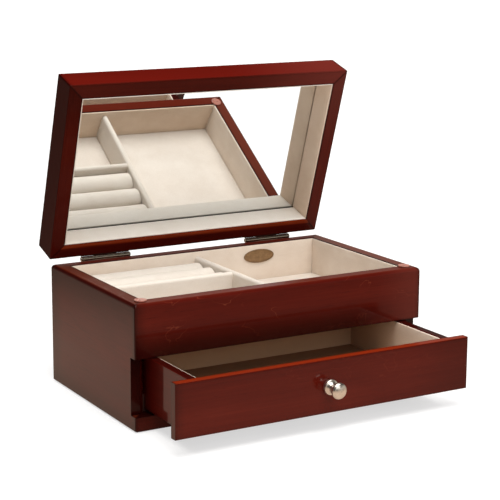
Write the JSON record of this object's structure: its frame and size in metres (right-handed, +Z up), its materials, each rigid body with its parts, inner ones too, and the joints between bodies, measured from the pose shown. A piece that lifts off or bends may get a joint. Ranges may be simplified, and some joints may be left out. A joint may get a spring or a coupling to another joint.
{
  "type": "jewelry box",
  "caption": "Lacquered wooden jewelry box with a hinged mirrored lid, a velvet-lined tray with ring rolls and dividers, and a full-width drawer with a knob.",
  "frame": {"origin": "centre of the felt underside of the case, on the surface the box stands on", "axes": "+Z up, +X to the right seen from the front, -Y towards the drawer and knob; lid raised 72 degrees and drawer out 67 mm at rest"},
  "size_m": [0.27, 0.2767, 0.2681],
  "materials": {
    "lacquered_wood": "glossy red mahogany stain under clear lacquer",
    "inner_wood": "plain board, dark stained",
    "velvet": "ivory velvet over card",
    "velvet_foam": "ivory velvet over foam",
    "base_felt": "dark brown felt",
    "bumper": "soft translucent pink rubber",
    "antique_brass": "aged brass, satin",
    "mirror_glass": "silvered mirror glass",
    "backing_card": "grey-brown card",
    "hinge_nickel": "nickel plated steel",
    "knob_nickel": "satin nickel",
    "screw_steel": "zinc plated"
  },
  "bodies": {
    "case": {"base_felt": "base_felt", "case_back_panel": "lacquered_wood", "case_bottom_panel": "inner_wood", "case_front_panel": "lacquered_wood", "case_front_rail": "lacquered_wood", "case_left_side": "lacquered_wood", "case_right_side": "lacquered_wood", "drawer_runner_left": "inner_wood", "drawer_runner_right": "inner_wood", "hinge_case_leaf_left": "hinge_nickel", "hinge_case_leaf_right": "hinge_nickel", "hinge_pin_left": "hinge_nickel", "hinge_pin_right": "hinge_nickel", "hinge_screws_case": "hinge_nickel", "oval_plate": "antique_brass", "rim_bumpers": "bumper", "ring_roll_1": "velvet_foam", "ring_roll_2": "velvet_foam", "ring_roll_3": "velvet_foam", "tray_deck": "inner_wood", "tray_divider_cross": "velvet", "tray_divider_long": "velvet", "tray_liner_back": "velvet", "tray_liner_floor": "velvet", "tray_liner_front": "velvet", "tray_liner_left": "velvet", "tray_liner_right": "velvet"},
    "lid": {"hinge_lid_leaf_left": "hinge_nickel", "hinge_lid_leaf_right": "hinge_nickel", "hinge_screws_lid": "hinge_nickel", "lid_back_rail": "lacquered_wood", "lid_front_rail": "lacquered_wood", "lid_left_rail": "lacquered_wood", "lid_liner_back": "velvet", "lid_liner_front": "velvet", "lid_liner_left": "velvet", "lid_liner_right": "velvet", "lid_right_rail": "lacquered_wood", "lid_top_panel": "lacquered_wood", "mirror": "mirror_glass", "mirror_backing": "backing_card"},
    "drawer": {"drawer_back": "lacquered_wood", "drawer_bottom": "inner_wood", "drawer_front": "lacquered_wood", "drawer_left_side": "lacquered_wood", "drawer_liner_back": "velvet", "drawer_liner_floor": "velvet", "drawer_liner_front": "velvet", "drawer_liner_left": "velvet", "drawer_liner_right": "velvet", "drawer_right_side": "lacquered_wood", "knob": "knob_nickel", "knob_screw": "screw_steel"}
  },
  "joints": [
    {"name": "lid_hinge", "type": "hinge", "parent": "case", "child": "lid", "pos_m": [0, 0.0835, 0.1037], "axis": [-1, 0, 0], "range_deg": [-72, 28]},
    {"name": "drawer_slide", "type": "slide", "parent": "case", "child": "drawer", "axis": [0, -1, 0], "range_m": [-0.067, 0.0576]}
  ]
}
